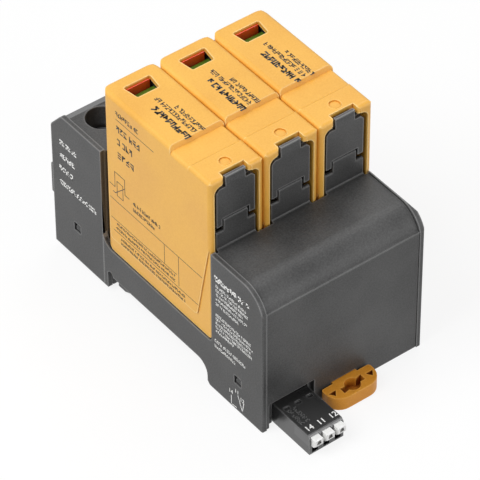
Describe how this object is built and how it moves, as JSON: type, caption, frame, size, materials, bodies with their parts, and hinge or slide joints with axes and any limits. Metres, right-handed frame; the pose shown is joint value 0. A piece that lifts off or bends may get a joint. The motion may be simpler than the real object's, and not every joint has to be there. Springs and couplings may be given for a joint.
{
  "type": "rail-mounted surge arrester",
  "caption": "Rail-mounted surge arrester: dark moulded base with screw terminals, yellow plug-in varistor modules with status windows, a signal plug and a sliding rail foot.",
  "frame": {"origin": "middle of the rail seat, in the plane of the rail's outer face", "axes": "+Z away from the rail, +Y towards the screw terminals, +X across the poles"},
  "size_m": [0.054, 0.1097, 0.0732],
  "materials": {
    "base_plastic": "fine-grained moulded polyamide",
    "module_plastic": "satin moulded polyamide",
    "foot_plastic": "satin moulded polyamide",
    "plug_plastic": "moulded polyamide",
    "button_plastic": "moulded polyamide",
    "carrier_plastic": "moulded polyamide",
    "flag_plastic": "smooth",
    "insert_plastic": "smooth",
    "varistor_coating": "epoxy-coated zinc oxide",
    "copper": "tinned and bare copper strip",
    "zinc_steel": "zinc-plated steel",
    "board": "solder mask"
  },
  "bodies": {
    "base": {"base_housing": "base_plastic", "left_side_plate": "base_plastic", "right_side_plate": "base_plastic", "base_plate": "base_plastic", "line_contact_1": "copper", "line_contact_2": "copper", "line_contact_3": "copper", "star_bar": "copper", "signal_board": "board", "signal_switch": "plug_plastic", "signal_header": "plug_plastic", "header_pins": "zinc_steel"},
    "foot": {"rail_foot": "foot_plastic"},
    "signal_bar": {"trip_bar": "button_plastic"},
    "plug": {"plug_body": "plug_plastic", "plug_contacts": "copper"},
    "module_1": {"module_1_housing": "module_plastic", "module_1_frame": "carrier_plastic", "module_1_insert": "insert_plastic", "module_1_varistor": "varistor_coating", "module_1_electrodes": "zinc_steel", "module_1_line_blade": "copper", "module_1_star_blade": "copper", "module_1_disconnect": "copper"},
    "latch_1": {"module_1_latch": "base_plastic"},
    "flag_1": {"module_1_flag": "flag_plastic"},
    "button_1": {"plug_button_1": "button_plastic"},
    "screw_1": {"terminal_screw_1": "zinc_steel"},
    "cage_1": {"terminal_cage_1": "zinc_steel"},
    "module_2": {"module_2_housing": "module_plastic", "module_2_frame": "carrier_plastic", "module_2_insert": "insert_plastic", "module_2_varistor": "varistor_coating", "module_2_electrodes": "zinc_steel", "module_2_line_blade": "copper", "module_2_star_blade": "copper", "module_2_disconnect": "copper"},
    "latch_2": {"module_2_latch": "base_plastic"},
    "flag_2": {"module_2_flag": "flag_plastic"},
    "button_2": {"plug_button_2": "button_plastic"},
    "screw_2": {"terminal_screw_2": "zinc_steel"},
    "cage_2": {"terminal_cage_2": "zinc_steel"},
    "module_3": {"module_3_housing": "module_plastic", "module_3_frame": "carrier_plastic", "module_3_insert": "insert_plastic", "module_3_varistor": "varistor_coating", "module_3_electrodes": "zinc_steel", "module_3_line_blade": "copper", "module_3_star_blade": "copper", "module_3_disconnect": "copper"},
    "latch_3": {"module_3_latch": "base_plastic"},
    "flag_3": {"module_3_flag": "flag_plastic"},
    "button_3": {"plug_button_3": "button_plastic"},
    "screw_3": {"terminal_screw_3": "zinc_steel"},
    "cage_3": {"terminal_cage_3": "zinc_steel"}
  },
  "joints": [
    {"name": "foot_slide", "type": "slide", "parent": "base", "child": "foot", "axis": [0, -1, 0], "range_m": [0, 0.0045], "stiffness_N_per_m": 600, "springref_m": -0.002},
    {"name": "signal_bar_slide", "type": "slide", "parent": "base", "child": "signal_bar", "axis": [0, -1, 0], "range_m": [0, 0.001], "stiffness_N_per_m": 200, "springref_m": -0.0005},
    {"name": "plug_pull", "type": "slide", "parent": "base", "child": "plug", "axis": [0, -1, 0], "range_m": [0, 0.014]},
    {"name": "module_1_lift", "type": "slide", "parent": "base", "child": "module_1", "axis": [0, 0, 1], "range_m": [0, 0.05]},
    {"name": "latch_1_press", "type": "hinge", "parent": "module_1", "child": "latch_1", "pos_m": [-0.018, -0.0199, 0.0434], "axis": [-1, 0, 0], "range_deg": [0, 1.6], "stiffness_Nm_per_rad": 0.2, "springref_deg": -1.72},
    {"name": "flag_1_slide", "type": "slide", "parent": "module_1", "child": "flag_1", "axis": [0, -1, 0], "range_m": [0, 0.0065]},
    {"name": "button_1_press", "type": "slide", "parent": "plug", "child": "button_1", "axis": [0, 1, 0], "range_m": [0, 0.001], "stiffness_N_per_m": 1000, "springref_m": -0.0005},
    {"name": "screw_1_turn", "type": "hinge", "parent": "base", "child": "screw_1", "pos_m": [-0.018, 0.03633, 0.03], "axis": [0, 0, -1], "range_deg": [0, 3150]},
    {"name": "cage_1_lift", "type": "slide", "parent": "base", "child": "cage_1", "axis": [0, 0, 1], "range_m": [0, 0.007]},
    {"name": "module_2_lift", "type": "slide", "parent": "base", "child": "module_2", "axis": [0, 0, 1], "range_m": [0, 0.05]},
    {"name": "latch_2_press", "type": "hinge", "parent": "module_2", "child": "latch_2", "pos_m": [0, -0.0199, 0.0434], "axis": [-1, 0, 0], "range_deg": [0, 1.6], "stiffness_Nm_per_rad": 0.2, "springref_deg": -1.72},
    {"name": "flag_2_slide", "type": "slide", "parent": "module_2", "child": "flag_2", "axis": [0, -1, 0], "range_m": [0, 0.0065]},
    {"name": "button_2_press", "type": "slide", "parent": "plug", "child": "button_2", "axis": [0, 1, 0], "range_m": [0, 0.001], "stiffness_N_per_m": 1000, "springref_m": -0.0005},
    {"name": "screw_2_turn", "type": "hinge", "parent": "base", "child": "screw_2", "pos_m": [0, 0.03633, 0.03], "axis": [0, 0, -1], "range_deg": [0, 3150]},
    {"name": "cage_2_lift", "type": "slide", "parent": "base", "child": "cage_2", "axis": [0, 0, 1], "range_m": [0, 0.007]},
    {"name": "module_3_lift", "type": "slide", "parent": "base", "child": "module_3", "axis": [0, 0, 1], "range_m": [0, 0.05]},
    {"name": "latch_3_press", "type": "hinge", "parent": "module_3", "child": "latch_3", "pos_m": [0.018, -0.0199, 0.0434], "axis": [-1, 0, 0], "range_deg": [0, 1.6], "stiffness_Nm_per_rad": 0.2, "springref_deg": -1.72},
    {"name": "flag_3_slide", "type": "slide", "parent": "module_3", "child": "flag_3", "axis": [0, -1, 0], "range_m": [0, 0.0065]},
    {"name": "button_3_press", "type": "slide", "parent": "plug", "child": "button_3", "axis": [0, 1, 0], "range_m": [0, 0.001], "stiffness_N_per_m": 1000, "springref_m": -0.0005},
    {"name": "screw_3_turn", "type": "hinge", "parent": "base", "child": "screw_3", "pos_m": [0.018, 0.03633, 0.03], "axis": [0, 0, -1], "range_deg": [0, 3150]},
    {"name": "cage_3_lift", "type": "slide", "parent": "base", "child": "cage_3", "axis": [0, 0, 1], "range_m": [0, 0.007]}
  ],
  "couplings": [
    {"joint": "screw_1_turn", "follows": "cage_1_lift", "rad_per_m": 7853.9},
    {"joint": "screw_2_turn", "follows": "cage_2_lift", "rad_per_m": 7853.9},
    {"joint": "screw_3_turn", "follows": "cage_3_lift", "rad_per_m": 7853.9}
  ]
}
